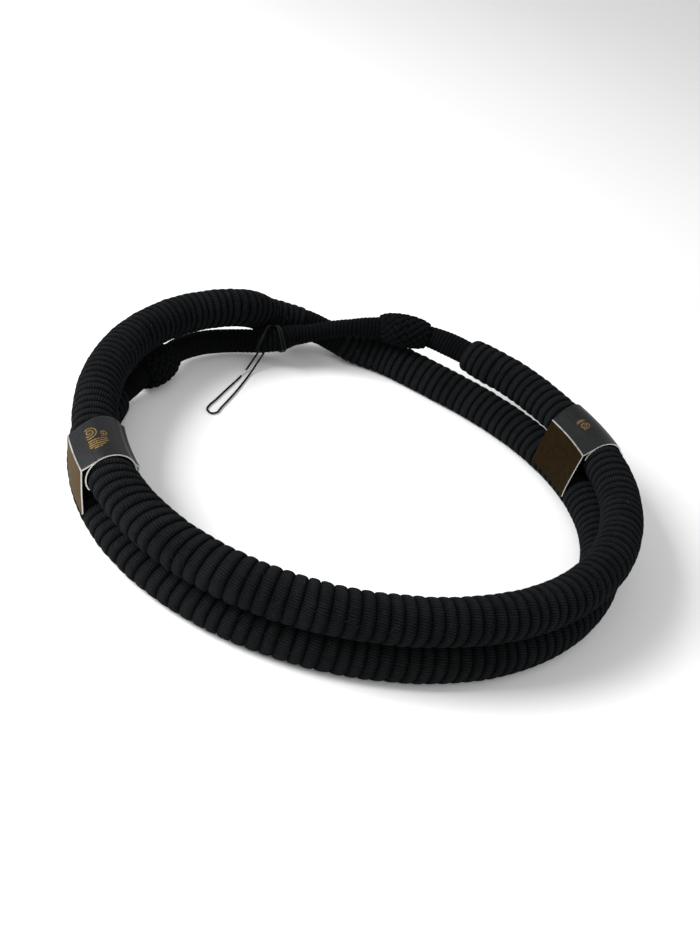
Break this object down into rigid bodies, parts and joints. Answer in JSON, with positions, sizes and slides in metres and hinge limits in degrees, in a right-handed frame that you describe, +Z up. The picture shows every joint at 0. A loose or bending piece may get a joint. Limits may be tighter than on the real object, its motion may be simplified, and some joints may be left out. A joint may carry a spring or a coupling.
{
  "type": "head cord",
  "caption": "Head cord: a closed ribbed wool rope doubled into two stacked rings, crossing at the back between two braided knots, with two card labels.",
  "frame": {"origin": "middle of the underside of the doubled ring, where it rests on a table, measured without the loose thread", "axes": "+Z up along the ring's own axis, +Y towards the crossing and the knots at the back, +X to the right of a viewer at the front"},
  "size_m": [0.1918, 0.1926, 0.03],
  "materials": {
    "rope": "black wool wound in coarse ribs, matt with a faint blue-grey sheen",
    "fine_winding": "black wool wound finely and tightly",
    "braid": "black wool braided round the cord",
    "card_black": "black coated card with a gold ornament and white cut edges",
    "card_brown": "golden brown coated card, satin",
    "thread": "black cotton thread"
  },
  "bodies": {
    "root": {"rope_upper": "rope", "rope_lower": "rope", "waist": "fine_winding", "link": "fine_winding", "neck_left": "fine_winding", "neck_right": "fine_winding", "knot_left": "braid", "knot_right": "braid", "label_right_sleeve": "card_black", "label_right_flap_outer": "card_brown", "label_right_flap_inner": "card_brown", "label_left_sleeve": "card_black", "label_left_flap_outer": "card_brown", "label_left_flap_inner": "card_brown", "thread_hitch": "thread", "hang_thread": "thread"}
  },
  "joints": []
}
